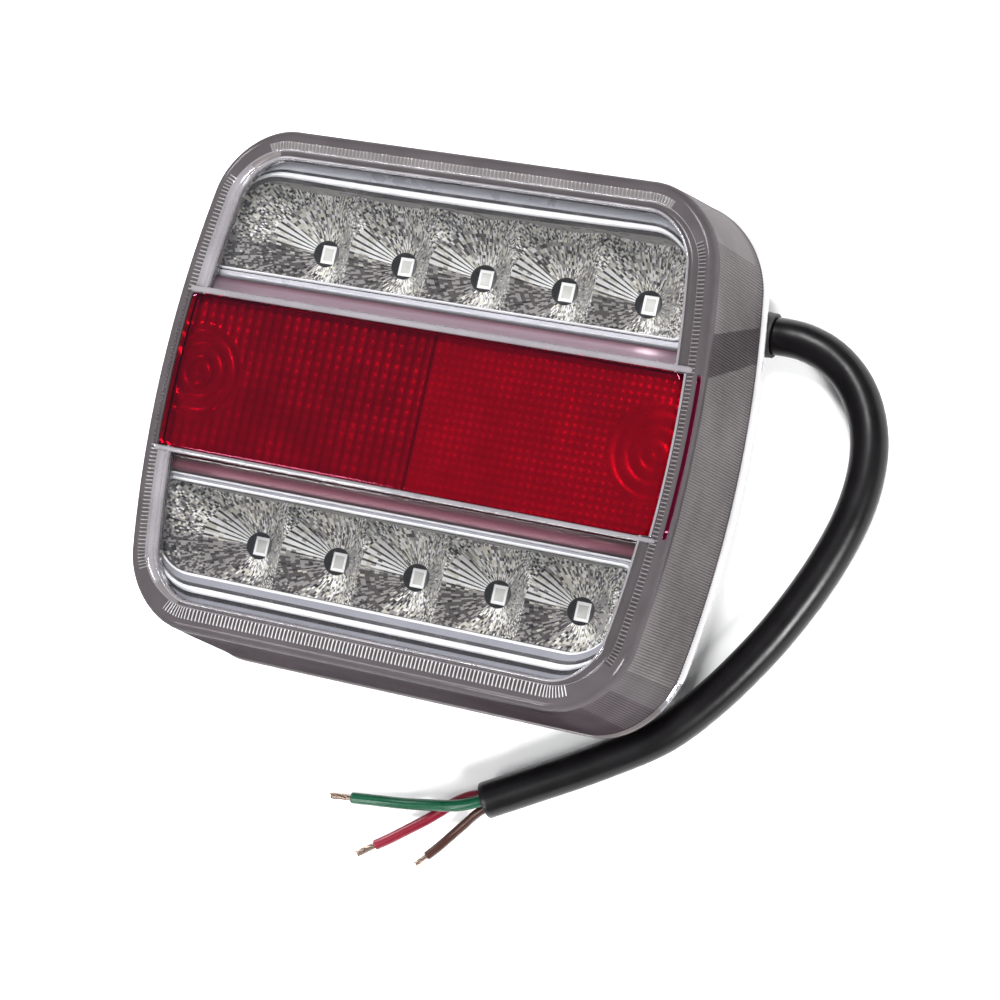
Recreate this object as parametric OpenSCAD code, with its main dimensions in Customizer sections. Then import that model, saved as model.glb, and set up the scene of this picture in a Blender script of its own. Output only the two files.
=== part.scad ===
// Twelve-volt trailer tail lamp: clear lens cap over two rows of chrome bowls and a red
// centre band, black rear housing with a mounting plinth, and a three-core cable.
// It lies on its back: +Z out of the lens, +X to the cable side, +Y to the top row.

/* [Outline] */
// Width across the rear flange
rim_w = 107.6; // [104:0.1:112]
// Height across the rear flange
rim_h = 100; // [98:0.5:104]
// Width across the front lip
lip_w = 104.8; // [103:0.1:106]
// Height across the front lip
lip_h = 94.6; // [93:0.1:96]

/* [Depth] */
// Height of the mounting plinth behind the flange
plinth_h = 11; // [10.8:0.1:12]
// Thickness of the rear flange
rim_t = 1.4; // [1:0.1:2]

/* [Lamps] */
// Spacing of the light sources along a row
led_pitch = 16.4; // [16:0.1:16.8]
// Distance of each row from the middle
row_y = 28.4; // [28:0.1:29]
// Light sources in each outer row
row_count = 5; // [3:2:5]

/* [Red band] */
// Width of the red lens
red_w = 98.8; // [96:0.1:99.2]
// Height of the red lens
red_h = 29; // [27:0.1:29.2]

/* [Mounting] */
// Distance between the two threaded inserts
insert_pitch = 45; // [40:1:50]
// Radius of the insert's thread
insert_r = 2.5; // [2:0.5:2.5]

/* [Cable] */
// Outer diameter of the cable
cable_d = 7; // [6.6:0.1:7]

/* [Hidden] */
$fn = 48;
eps = 0.01;

// heights of the stack, from the surface it lies on
lens_top = plinth_h + 30;
face_t = 2.4;
lip_r = 3;
groove_h = 1;
wall_z = plinth_h + rim_t + groove_h;
lens_t = 2.1;
plate_t = 2.2;
board_z = 18.6;
board_t = 1.6;
board_top = board_z + board_t;
led_h = 1.9;

// side radius of the bowed left and right edges, at the flange and at the lip
rim_bow = 300;
lip_bow = 220;

// plinth and its cavity
plinth_w = 80;
plinth_l = 76;
plinth_r = 8;
plinth_t = 2.2;

// chrome bowls
hole_r = 2.6;
bowl_z = 22.3;
bowl_k = 8.1;
bowl_reach = 12.6;
shell_t = 1.1;
ledge_z = lens_top - 3.4;
ledge_t = 1.2;
window_low = 21.4;
window_high = 38.2;
peg_x = 20;
peg_y = 41;

// screws of the board
screw_x = 42.6;
screw_y = 35.4;

// cable exit, through the right wall of the plinth
exit_y = 29.2;
exit_z = 5.8;
relief_end = 52;
stub_start = 30;

function arc(cx, cy, r, from, n) =
    [for (i = [0:n]) let (a = from + 90 * i / n) [cx + r * cos(a), cy + r * sin(a)]];
function run(x, from, to, n) = [for (i = [1:n - 1]) [x, from + (to - from) * i / n]];
function bowed(p, w, bow) = [p[0] * (1 - p[1] * p[1] / bow / w), p[1]];

// rounded rectangle whose left and right edges bow outwards
function outline(w, h, r, bow) = let (a = w / 2 - r, b = h / 2 - r)
    [for (p = concat(arc(a, b, r, 0, 8), arc(-a, b, r, 90, 8), run(-w / 2, b, -b, 8),
        arc(-a, -b, r, 180, 8), arc(a, -b, r, 270, 8), run(w / 2, -b, b, 8))) bowed(p, w, bow)];

module plate(z, t, w, h, r, bow) {
    translate([0, 0, z]) linear_extrude(t) polygon(outline(w, h, r, bow));
}

module ring(z, t, outer, inner) {
    difference() {
        plate(z, t, outer[0], outer[1], outer[2], outer[3]);
        plate(z - eps, t + 2 * eps, inner[0], inner[1], inner[2], inner[3]);
    }
}

// solid through stacked outlines: each level is [z, points]
module loft(levels) {
    n = len(levels[0][1]);
    top = len(levels) - 1;
    polyhedron(
        points = [for (l = levels) for (p = l[1]) [p[0], p[1], l[0]]],
        faces = concat(
            [[for (i = [n - 1:-1:0]) n - 1 - i]],
            [[for (i = [n - 1:-1:0]) top * n + i]],
            [for (k = [0:top - 1]) for (i = [0:n - 1]) let (j = (i + 1) % n)
                [k * n + i, (k + 1) * n + i, (k + 1) * n + j, k * n + j]]));
}

// a swept tube through the points, with sides flats and ends square to the first and last run
function unit(v) = v / norm(v);
function tangent(p, i) = unit(p[min(i + 1, len(p) - 1)] - p[max(i - 1, 0)]);
module tube(points, d, sides, up = [0, 0, 1]) {
    n = len(points);
    rings = [for (i = [0:n - 1]) let (t = tangent(points, i), u = unit(cross(up, t)), v = cross(t, u))
        for (k = [0:sides - 1]) points[i] + d / 2 * (cos(360 * k / sides) * u + sin(360 * k / sides) * v)];
    polyhedron(points = rings, faces = concat(
        [[for (k = [0:sides - 1]) sides - 1 - k]],
        [[for (k = [0:sides - 1]) (n - 1) * sides + k]],
        [for (i = [0:n - 2]) for (k = [0:sides - 1]) let (m = (k + 1) % sides)
            [i * sides + k, i * sides + m, (i + 1) * sides + m, (i + 1) * sides + k]]), convexity = 8);
}

// ---------------------------------------------------------------- housing

module plinth_shape(z, t, inset) {
    translate([0, 0, z]) linear_extrude(t)
        polygon(outline(plinth_w - 2 * inset, plinth_l - 2 * inset, plinth_r - inset, 1e6));
}

module rear_housing() color("#1b1b1d") {
    difference() {
        union() {
            plate(plinth_h, plate_t, 102, 94.4, 12.5, rim_bow);
            plinth_shape(0, plinth_h + eps, 0);
            ring(plinth_h + plate_t - eps, 4.3, [98, 90.4, 10.5, rim_bow], [95.6, 88, 9.3, rim_bow]);
            for (sx = [-1, 1], sy = [-1, 1]) translate([sx * screw_x, sy * screw_y, plinth_h + 1])
                cylinder(r = 3, h = board_z - plinth_h - 1);
        }
        difference() {
            plinth_shape(plinth_t, 20, plinth_t);
            for (sx = [-1, 1]) translate([sx * insert_pitch / 2, 0, 0]) cylinder(r = 5.4, h = 9.6);
            translate([33, 20.6, 0]) cylinder(r = 3, h = 5);
        }
        for (sx = [-1, 1]) translate([sx * insert_pitch / 2, 0, -1]) cylinder(r = 3.5, h = 9.4);
        for (sx = [-1, 1], sy = [-1, 1]) translate([sx * screw_x, sy * screw_y, 12.4])
            cylinder(r = 1.5, h = 10);
        translate([33, 20.6, 0.8]) cylinder(r = 1.5, h = 10);
        translate([plinth_w / 2 - 4, exit_y, exit_z]) rotate([0, 90, 0]) cylinder(r = 4.7, h = 8);
    }
}

module mounting_inserts() color("#b8914a")
    for (sx = [-1, 1]) translate([sx * insert_pitch / 2, 0, 0]) difference() {
        union() {
            translate([0, 0, 0.2]) cylinder(r = 3.45, h = 2.4);
            translate([0, 0, 2.6]) cylinder(r = 3.2, h = 1.2);
            translate([0, 0, 3.8]) cylinder(r = 3.45, h = 4.4);
        }
        translate([0, 0, -1]) cylinder(r = insert_r, h = 12);
    }

module lens_seal() color("#141414")
    ring(plinth_h + plate_t, 2.2, [101.9, 94.3, 12.4, rim_bow], [98.2, 90.6, 10.6, rim_bow]);

// ------------------------------------------------------------- lens cover

// the outline of the outer wall at a height between the flange and the lip
function wall_at(z, inset) = let (k = (z - wall_z) / (lens_top - lip_r - wall_z))
    outline(106.8 + (lip_w - 106.8) * k - 2 * inset, 99.2 + (lip_h - 99.2) * k - 2 * inset,
        14.6 - 1.6 * k - 0.8 * inset, rim_bow + (lip_bow - rim_bow) * k);

module lens_outside() {
    plate(plinth_h, rim_t, rim_w, rim_h, 15.5, rim_bow);
    plate(plinth_h + rim_t - eps, groove_h + 2 * eps, 105.6, 98, 14.5, rim_bow);
    loft(concat([[wall_z, wall_at(wall_z, 0)]], [for (a = [0:15:90])
        let (z = lens_top - lip_r) [z + lip_r * sin(a), wall_at(z, lip_r * (1 - cos(a)))]]));
}

module lens_inside() {
    plate(plinth_h - 1, 3.2, 102.5, 94.9, 12.6, rim_bow);
    loft([[wall_z - 0.3, wall_at(wall_z, lens_t)],
        [lens_top - face_t - 2, wall_at(lens_top - lip_r, lens_t)],
        [lens_top - face_t, wall_at(lens_top - lip_r, lens_t + 1.6)]]);
}

module band(y0, y1, z, t, w, h, r, bow) {
    translate([0, 0, z]) linear_extrude(t) intersection() {
        polygon(outline(w, h, r, bow));
        translate([-w / 2, y0]) square([w, y1 - y0]);
    }
}

module lens_cover() color("#c9ced2", 0.45) {
    difference() {
        lens_outside();
        lens_inside();
        // the slot that the red lens fills
        translate([0, 0, lens_top - 6]) linear_extrude(8)
            polygon(outline(red_w + 0.3, red_h + 0.3, 1.7, lip_bow));
        // the two sunk windows
        for (m = [0, 1]) mirror([0, m, 0])
            band(19.4, 50, lens_top - 0.7, 2, 94, 86, 9.5, lip_bow);
    }
    // bars under the face, on both sides of the red lens
    for (m = [0, 1]) mirror([0, m, 0])
        band(red_h / 2 + 0.3, red_h / 2 + 4.4, ledge_z + 0.2, 1.1, 96, 86, 9.5, lip_bow);
}

module red_lens() color("#8e0f22", 0.85) {
    translate([0, 0, lens_top - 2.2]) linear_extrude(2.1)
        polygon(outline(red_w, red_h, 1.6, lip_bow));
    ring(lens_top - 10, 7.8 + eps, [red_w, red_h, 1.6, lip_bow], [red_w - 3, red_h - 3, 0.8, lip_bow]);
}

// vertical prisms on the back of the left half
module reflex_plate() color("#7a0c1c") {
    z = lens_top - 4.6;
    prism = 1.9;
    translate([-47.4, -12.4, z]) cube([46.8, 24.8, 1.6]);
    for (i = [0:23]) translate([-47 + i * prism, 12, z + eps]) rotate([90, 0, 0])
        linear_extrude(24) polygon([[0, 0], [prism, 0], [prism / 2, -0.9]]);
}

module tail_diffuser() color("#a01428") {
    z = lens_top - 4.6;
    translate([0.4, -12.4, z]) cube([46.9, 24.8, 1.6]);
    for (i = [0:9]) translate([2.4 + i * 4.7, 12, z + eps]) rotate([90, 0, 0])
        cylinder(r = 0.7, h = 24, $fn = 24);
}

// ------------------------------------------------------------- reflectors

// the space over one bowl, or its outer side when grown by the shell's thickness
module bowl_space(grow) rotate_extrude() polygon(concat([[0, bowl_z - grow]],
    [for (r = [1.4:1.4:bowl_reach]) [r + grow, bowl_z - grow + r * r / bowl_k]],
    [[bowl_reach + grow, lens_top + 4], [0, lens_top + 4]]));

module row_space(grow) intersection() {
    for (i = [0:row_count - 1]) translate([(i - (row_count - 1) / 2) * led_pitch, row_y, 0])
        bowl_space(grow);
    band(window_low - grow, window_high + grow, bowl_z - 4, 40, 89.6 + 2 * grow,
        82 + 2 * grow, 8 + grow, lip_bow);
}

module reflector() {
    difference() {
        union() {
            intersection() {
                row_space(shell_t);
                translate([-60, 0, 0]) cube([120, 60, ledge_z]);
            }
            band(window_low - shell_t, 43, ledge_z - ledge_t, ledge_t, 95.6, 86, 10, lip_bow);
            for (sx = [-1, 1]) translate([sx * peg_x, peg_y, board_top])
                cylinder(r = 1.5, h = ledge_z - board_top - eps);
            for (sx = [-1, 1]) translate([sx * peg_x, peg_y, board_z - 0.8])
                cylinder(r = 1, h = 4);
        }
        row_space(0);
        for (i = [0:row_count - 1]) translate([(i - (row_count - 1) / 2) * led_pitch, row_y, 15])
            cylinder(r = hole_r, h = 10);
    }
}

module upper_reflector() color("#d5d9d6") reflector();
module lower_reflector() color("#d5d9d6") rotate(180) reflector();

module center_reflector() color("#e4e4e0") difference() {
    band(-13, 13, board_top + 0.5, 10.3, 94.4, 86, 10, lip_bow);
    band(-11.8, 11.8, board_top + 1.5, 12, 92, 84, 9, lip_bow);
    for (x = tail_x) translate([x, 0, 15]) cylinder(r = hole_r, h = 10);
}

// ------------------------------------------------------------ electronics

tail_x = [-36, -12, 12, 36];
pads = [[12, 27], [16, 23], [20, 19]];
row_x = [for (i = [0:row_count - 1]) (i - (row_count - 1) / 2) * led_pitch];

module led_board() color("#e9ebe6") difference() {
    plate(board_z, board_t, 97, 88, 10, rim_bow);
    for (sx = [-1, 1], sy = [-1, 1]) {
        translate([sx * screw_x, sy * screw_y, 0]) cylinder(r = 1.6, h = 40);
        translate([sx * peg_x, sy * peg_y, 0]) cylinder(r = 1.1, h = 40);
    }
    for (p = pads) translate([p[0], p[1], 0]) cylinder(r = 0.8, h = 40);
}

module led(x, y) translate([x, y, board_top]) difference() {
    translate([-1.4, -1.75, 0]) cube([2.8, 3.5, led_h]);
    translate([-0.95, -1.2, led_h - 0.4]) cube([1.9, 2.4, 1]);
}
module led_window(x, y) translate([x - 0.95, y - 1.2, board_top + led_h - 0.4]) cube([1.9, 2.4, 0.35]);

module upper_leds() color("#f2f2ee") for (x = row_x) led(x, row_y);
module lower_leds() color("#f2f2ee") for (x = row_x) led(x, -row_y);
module tail_leds() color("#f2f2ee") for (x = tail_x) led(x, 0);
module led_windows() color("#cfd2cc") {
    for (x = row_x, s = [-1, 1]) led_window(x, s * row_y);
    for (x = tail_x) led_window(x, 0);
}

module resistors() color("#26262a")
    for (i = [0:5]) translate([-28 + i * 6, -14, board_z - 0.6]) cube([1.6, 3.2, 0.6]);

module diodes() color("#2e2e30")
    for (i = [0:2]) translate([14.7 + i * 4, 10, board_z - 2]) cube([2.6, 4.3, 2]);

module solder_joints() color("#b9bcc0") for (p = pads) translate([p[0], p[1], board_z - 1.1])
    difference() {
        cylinder(r1 = 1.15, r2 = 1.7, h = 1.1);
        translate([0, 0, -1]) cylinder(r = 1.06, h = 4);
    }

module board_screws() color("#b4b6b8")
    for (sx = [-1, 1], sy = [-1, 1]) translate([sx * screw_x, sy * screw_y, 0]) difference() {
        union() {
            translate([0, 0, 12.7]) cylinder(r = 1.45, h = board_top - 12.7 + eps);
            translate([0, 0, board_top]) cylinder(r1 = 2.7, r2 = 2.2, h = 1.8);
        }
        translate([0, 0, board_top + 0.8]) cylinder(r = 1, h = 2, $fn = 6);
    }

// ------------------------------------------------------------ cable entry

// rubber plug in the plinth's wall, which tapers along the cable
module cable_grommet() color("#161616") translate([0, exit_y, exit_z]) rotate([0, 90, 0])
    difference() {
        union() {
            translate([0, 0, 37.6]) cylinder(r = 4.6, h = 3);
            translate([0, 0, 40.1]) cylinder(r = 5.1, h = 1.5);
            translate([0, 0, 41.6 - eps]) cylinder(r1 = 4.9, r2 = 4.1, h = relief_end - 41.6);
        }
        cylinder(r = cable_d / 2 + 0.06, h = 80);
    }

module cable_inner_end() color("#161616") translate([stub_start, exit_y, exit_z])
    rotate([0, 90, 0]) cylinder(r = cable_d / 2, h = relief_end - stub_start);

// saddle over the cable, held by one screw
module cable_clamp() color("#2a2a2c") difference() {
    union() {
        translate([30.5, exit_y - 4.8, plinth_t]) cube([5, 9.6, 7.8]);
        translate([30.5, 17.8, 5.1]) cube([5, 8, 1.9]);
    }
    translate([20, exit_y, exit_z]) rotate([0, 90, 0]) cylinder(r = cable_d / 2 + 0.06, h = 30);
    translate([33, 20.6, 0]) cylinder(r = 1.6, h = 20);
}

module clamp_screw() color("#b4b6b8") translate([33, 20.6, 0]) difference() {
    union() {
        translate([0, 0, 1]) cylinder(r = 1.45, h = 6.1);
        translate([0, 0, 7]) cylinder(r1 = 2.6, r2 = 2.1, h = 1.7);
    }
    translate([0, 0, 7.8]) cylinder(r = 1, h = 2, $fn = 6);
}

// each core inside the housing, on a curve from the cable's end up to its pad on the board
function bezier(a, b, c, d, t) = let (u = 1 - t)
    u * u * u * a + 3 * u * u * t * b + 3 * u * t * t * c + t * t * t * d;
module lead(y, z, pad) tube([for (i = [0:14]) bezier([stub_start - 0.15, y, z],
    [(stub_start + pad[0]) / 2 - 4, y, z], [pad[0], pad[1], 7], [pad[0], pad[1], board_z - 0.7],
    i / 14)], 1.9, 8, [0.1, 1, 0]);
module green_lead() color("#0d7a55") lead(exit_y, exit_z + 1.1, pads[1]);
module red_lead() color("#b3152b") lead(exit_y + 1.25, exit_z - 0.9, pads[0]);
module brown_lead() color("#5a3020") lead(exit_y - 1.25, exit_z - 0.9, pads[2]);

// ------------------------------------------------------------- free cable

// centreline of the cable from the strain relief to its cut end
cable_route = [[52, 29.2, 5.8], [54.9, 29.2, 5.8], [58, 28.9, 5.5], [61.9, 27.7, 4.8],
    [65.5, 25.5, 4.1], [68.6, 22.4, 3.7], [71, 18.6, 3.5], [72.7, 14.2, 3.5], [73.5, 9.4, 3.5],
    [73.5, 4.4, 3.5], [72.8, -0.7, 3.5], [71.5, -5.7, 3.5], [69.8, -10.6, 3.5],
    [67.8, -15.4, 3.5], [65.5, -20.2, 3.5], [63, -24.9, 3.5], [60.2, -29.5, 3.5],
    [57.2, -34, 3.5], [54, -38.3, 3.5], [50.6, -42.4, 3.5], [46.9, -46.2, 3.5],
    [42.7, -49.4, 3.5], [38.2, -52.3, 3.5], [33.7, -55.1, 3.5], [29.1, -57.8, 3.5],
    [24.5, -60.4, 3.5], [19.9, -63, 3.5], [15.3, -65.6, 3.5]];
// centrelines of the three cores, which start inside the stripped end
green_route = [[28.4, -58.2, 4.6], [24, -60.7, 4.6], [19.7, -63.2, 4.6], [15.3, -65.6, 4.6],
    [12.6, -66.9, 4.5], [9.6, -67.9, 4.2], [6, -68.6, 3.5], [2.2, -69.2, 2.6],
    [-1.6, -69.8, 1.8], [-5.2, -70.2, 1.3], [-8.8, -70.6, 1.1], [-12.4, -71, 1.1]];
red_route = [[27.8, -57.1, 2.9], [23.4, -59.6, 2.9], [19.1, -62, 2.9], [14.7, -64.5, 2.9],
    [11.6, -65.6, 2.5], [8.8, -67.2, 1.8], [6.2, -69.4, 1.2], [3.3, -71.9, 1],
    [0.2, -74.3, 1], [-2.9, -76.7, 1], [-5.6, -78.6, 1]];
brown_route = [[29, -59.3, 2.9], [24.6, -61.8, 2.9], [20.3, -64.2, 2.9], [15.9, -66.7, 2.9],
    [13.6, -68.5, 2.5], [11.5, -70.8, 1.6], [9.3, -73.3, 1], [7.2, -75.9, 0.85],
    [5.1, -78.3, 0.85]];
green_tip = [-17, -71.5, 1.1];
red_tip = [-9, -81.1, 1];
brown_tip = [3.2, -80.4, 0.85];
wire_d = [2.2, 2, 1.7];
strand_d = [1.2, 1.2, 1];
bore_depth = 15.3;
core_r = 2.7;

module cable_jacket() color("#161618") {
    last = len(cable_route) - 1;
    way = unit(cable_route[last] - cable_route[last - 1]);
    difference() {
        tube(cable_route, cable_d, 12);
        translate(cable_route[last] - bore_depth * way) rotate([0, 90, atan2(way[1], way[0])])
            cylinder(r = core_r, h = bore_depth + 1);
    }
}

module strands(route, tip, d) {
    end = route[len(route) - 1];
    tube([end + 0.06 * unit(tip - end), tip], d, 8);
}
module green_wire() color("#0d7a55") tube(green_route, wire_d[0], 8);
module red_wire() color("#b3152b") tube(red_route, wire_d[1], 8);
module brown_wire() color("#5a3020") tube(brown_route, wire_d[2], 8);
module green_strands() color("#c9a58a") strands(green_route, green_tip, strand_d[0]);
module red_strands() color("#c9a58a") strands(red_route, red_tip, strand_d[1]);
module brown_strands() color("#c9a58a") strands(brown_route, brown_tip, strand_d[2]);

rear_housing();
mounting_inserts();
lens_cover();
lens_seal();
red_lens();
reflex_plate();
tail_diffuser();
upper_reflector();
lower_reflector();
center_reflector();
led_board();
upper_leds();
lower_leds();
tail_leds();
led_windows();
resistors();
diodes();
solder_joints();
board_screws();
cable_grommet();
cable_inner_end();
cable_clamp();
clamp_screw();
green_lead();
red_lead();
brown_lead();
cable_jacket();
green_wire();
red_wire();
brown_wire();
green_strands();
red_strands();
brown_strands();
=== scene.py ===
"""Trailer tail lamp on its back: its finishes, and the fine shapes of its lens, reflectors and cords."""

import math

import bmesh
import bpy
import numpy as np
from mathutils import Matrix, Vector


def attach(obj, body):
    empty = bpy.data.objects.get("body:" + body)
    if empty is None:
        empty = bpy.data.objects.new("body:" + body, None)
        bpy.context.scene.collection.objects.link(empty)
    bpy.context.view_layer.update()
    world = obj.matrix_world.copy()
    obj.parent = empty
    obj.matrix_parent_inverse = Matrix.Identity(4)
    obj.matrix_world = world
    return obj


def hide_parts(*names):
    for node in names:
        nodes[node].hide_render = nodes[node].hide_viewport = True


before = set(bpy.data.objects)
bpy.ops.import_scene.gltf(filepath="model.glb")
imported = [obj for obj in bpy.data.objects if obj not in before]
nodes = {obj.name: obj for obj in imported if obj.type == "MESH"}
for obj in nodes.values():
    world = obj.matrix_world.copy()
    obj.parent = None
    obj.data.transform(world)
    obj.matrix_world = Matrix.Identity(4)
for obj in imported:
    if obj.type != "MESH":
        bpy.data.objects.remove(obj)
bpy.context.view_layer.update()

MM = 0.001
BODY = "root"
RNG = np.random.default_rng(7)

# ------------------------------------------------------------------ camera

EYE = Vector((203.9, -51.9, 491.9)) * MM
LOOK = Vector((-0.3762, 0.0796, -0.9231))
UP = Vector((-0.1726, 0.9729, 0.1542))
FIELD = 20.34


def add_camera():
    data = bpy.data.cameras.new("camera")
    data.angle = math.radians(FIELD)
    data.clip_start = 0.01
    data.clip_end = 20
    camera = bpy.data.objects.new("camera", data)
    back = -LOOK.normalized()
    right = UP.cross(back).normalized()
    up = back.cross(right)
    camera.matrix_world = Matrix.Translation(EYE) @ Matrix((right, up, back)).transposed().to_4x4()
    bpy.context.scene.collection.objects.link(camera)
    bpy.context.scene.camera = camera


add_camera()

# --------------------------------------------------------------- materials


class Nodes:
    """A material's node tree, with short calls for the nodes used here."""

    def __init__(self, name):
        self.material = bpy.data.materials.new(name)
        self.material.use_nodes = True
        self.tree = self.material.node_tree
        self.tree.nodes.clear()
        self.out = self.tree.nodes.new("ShaderNodeOutputMaterial")

    def node(self, kind, **values):
        made = self.tree.nodes.new("ShaderNode" + kind)
        for key, value in values.items():
            made.inputs[key.replace("_", " ")].default_value = value
        return made

    def link(self, source, target):
        self.tree.links.new(source, target)

    def finish(self, shader):
        self.link(shader, self.out.inputs["Surface"])
        return self.material

    def place(self):
        return self.node("TexCoord").outputs["Object"]

    def noise(self, scale, detail):
        made = self.node("TexNoise", Scale=scale, Detail=detail, Roughness=0.5)
        self.link(self.place(), made.inputs["Vector"])
        return made.outputs["Fac"]

    def span(self, value, low, high, a=0.0, b=1.0):
        made = self.node("MapRange")
        self.link(value, made.inputs["Value"])
        for key, number in zip(("From Min", "From Max", "To Min", "To Max"), (low, high, a, b)):
            made.inputs[key].default_value = number
        return made.outputs["Result"]

    def ramp(self, value, stops):
        made = self.node("ValToRGB")
        elements = made.color_ramp.elements
        while len(elements) < len(stops):
            elements.new(0.5)
        for element, (at, colour) in zip(elements, stops):
            element.position = at
            element.color = (*colour, 1)
        self.link(value, made.inputs["Fac"])
        return made.outputs["Color"]

    def bump(self, height, depth):
        made = self.node("Bump", Distance=depth, Strength=1)
        self.link(height, made.inputs["Height"])
        return made.outputs["Normal"]


# noise stays between these two levels nearly everywhere
NOISE_LOW, NOISE_HIGH = 0.3, 0.7


def mottled(colour, spread):
    """Ramp stops for a colour that varies by that share to either side."""
    low = tuple(c * (1 - spread) for c in colour)
    high = tuple(min(c * (1 + spread), 1) for c in colour)
    return [(NOISE_LOW, low), (NOISE_HIGH, high)]


def solid(
    name, colour, rough, metallic=0.0, level=0.5, spread=0.12, grain=900, depth=2e-5, rough_span=0.06,
):
    """An opaque finish with slight mottling, uneven gloss and a fine bump."""
    n = Nodes(name)
    shader = n.node("BsdfPrincipled", Metallic=metallic, Specular_IOR_Level=level)
    mottle = n.noise(grain * 0.25, 4)
    n.link(n.ramp(mottle, mottled(colour, spread)), shader.inputs["Base Color"])
    gloss = n.span(mottle, NOISE_LOW, NOISE_HIGH, rough - rough_span, rough + rough_span)
    n.link(gloss, shader.inputs["Roughness"])
    n.link(n.bump(n.noise(grain, 2), depth), shader.inputs["Normal"])
    return n.finish(shader.outputs[0])


ACRYLIC_IOR = 1.49


def clear(name, tint, gloss, body=0.0, colour=None, shine=(1, 1, 1), waves=0.0):
    """Clear plastic: what is behind shows through tinted, under its own gloss and a share of body."""
    n = Nodes(name)
    through = n.node("BsdfTransparent", Color=(*tint, 1))
    surface = n.node("BsdfGlossy", Roughness=gloss, Color=(*shine, 1))
    fresnel = n.node("Fresnel", IOR=ACRYLIC_IOR)
    if waves:
        normal = n.bump(n.noise(160, 2), waves)
        n.link(normal, surface.inputs["Normal"])
        n.link(normal, fresnel.inputs["Normal"])
    inner = through.outputs[0]
    if body:
        milk = n.node("BsdfDiffuse")
        n.link(n.ramp(n.noise(120, 4), mottled(colour, 0.12)), milk.inputs["Color"])
        mix = n.node("MixShader")
        share = n.span(n.noise(90, 3), NOISE_LOW, NOISE_HIGH, body * 0.95, min(body * 1.05, 1))
        n.link(share, mix.inputs[0])
        n.link(inner, mix.inputs[1])
        n.link(milk.outputs[0], mix.inputs[2])
        inner = mix.outputs[0]
    top = n.node("MixShader")
    n.link(fresnel.outputs[0], top.inputs[0])
    n.link(inner, top.inputs[1])
    n.link(surface.outputs[0], top.inputs[2])
    return n.finish(top.outputs[0])


STRIP_RAMP = 2.6


def magenta(name, start, stops):
    """Metallised strip painted with a reflection of the red lens, its colour changing across it from that
    y.
    """
    n = Nodes(name)
    shader = n.node("BsdfPrincipled", Metallic=0.25, Roughness=0.35)
    split = n.node("SeparateXYZ")
    n.link(n.place(), split.inputs[0])
    across = n.span(split.outputs["Y"], start * MM, (start + STRIP_RAMP) * MM)
    n.link(n.ramp(across, stops), shader.inputs["Base Color"])
    n.link(n.bump(n.noise(700, 3), 2e-5), shader.inputs["Normal"])
    return n.finish(shader.outputs[0])


def metallised(name, colour, rough, metallic, spread, grain=900, **more):
    return solid(name, colour, rough, metallic=metallic, spread=spread, grain=grain, **more)


# the five finishes of a facet, dark to bright, one metallised finish painted at five brightnesses for
# reflections and glints: colour, roughness and how metallic
FACETS = {
    "facet_black": ((0.015, 0.013, 0.013), 0.25, 0.3),
    "facet_dark": ((0.09, 0.08, 0.078), 0.25, 0.25),
    "facet_grey": ((0.34, 0.325, 0.315), 0.3, 0.25),
    "facet_pale": ((0.74, 0.72, 0.62), 0.4, 0.3),
    "facet_white": ((1.0, 1.0, 0.96), 0.5, 0.2),
}
# the regions of the clear cap, most of them copies of one clear acrylic painted lighter or darker as
# highlight and shade: name, tint, gloss, share of body, its colour, colour of the shine
CAP = {
    "rim": ("rim_acrylic", (0.95, 0.95, 0.97), 0.05, 0.85, (0.52, 0.51, 0.52)),
    "groove": ("flute_gap", (0.5, 0.49, 0.49), 0.25, 0.95, (0.073, 0.066, 0.067), (0.12, 0.12, 0.12)),
    "wall": ("wall_acrylic", (0.7, 0.68, 0.69), 0.18, 0.94, (0.11, 0.099, 0.1), (0.2, 0.19, 0.195)),
    "lip": ("lip_acrylic", (0.7, 0.68, 0.7), 0.12, 0.9, (0.054, 0.047, 0.0505), (0.2, 0.19, 0.2)),
    "rib_light": ("rib_crest", (0.8, 0.8, 0.82), 0.1, 0.85, (0.15, 0.143, 0.146), (0.8, 0.8, 0.8)),
    "rib_dark": ("rib_gap", (0.6, 0.58, 0.6), 0.15, 0.95, (0.045, 0.04, 0.042), (0.15, 0.15, 0.15)),
    "edge": ("bright_edge", (0.9, 0.9, 0.92), 0.05, 0.6, (0.23, 0.217, 0.234)),
    "shade": ("shaded_wall", (0.5, 0.49, 0.5), 0.2, 0.97, (0.056, 0.049, 0.052), (0.12, 0.11, 0.12)),
    "shade_gap": ("shaded_gap", (0.5, 0.49, 0.5), 0.2, 0.97, (0.033, 0.028, 0.03), (0.12, 0.11, 0.12)),
    "gap": ("sunk_edge", (0.5, 0.49, 0.5), 0.15, 0.93, (0.045, 0.04, 0.042), (0.3, 0.29, 0.3)),
    "under": ("lower_wall", (0.5, 0.48, 0.49), 0.2, 0.95, (0.034, 0.026, 0.03), (0.08, 0.075, 0.08)),
    "rib_low": ("rib_acrylic", (0.9, 0.9, 0.92), 0.12, 0.85, (0.35, 0.337, 0.345), (0.3, 0.29, 0.3)),
}
# painted reflection of the red lens: colours across the two strips beside it
STRIP_UP = [
    (0.0, (0.3, 0.22, 0.26)), (0.6, (0.25, 0.16, 0.195)), (0.85, (0.16, 0.07, 0.095)),
    (1.0, (0.085, 0.027, 0.04)),
]
STRIP_DOWN = [
    (0.0, (0.1, 0.03, 0.045)), (0.35, (0.19, 0.05, 0.075)), (0.6, (0.115, 0.011, 0.026)),
    (0.85, (0.075, 0.004, 0.011)), (1.0, (0.085, 0.02, 0.028)),
]

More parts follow.
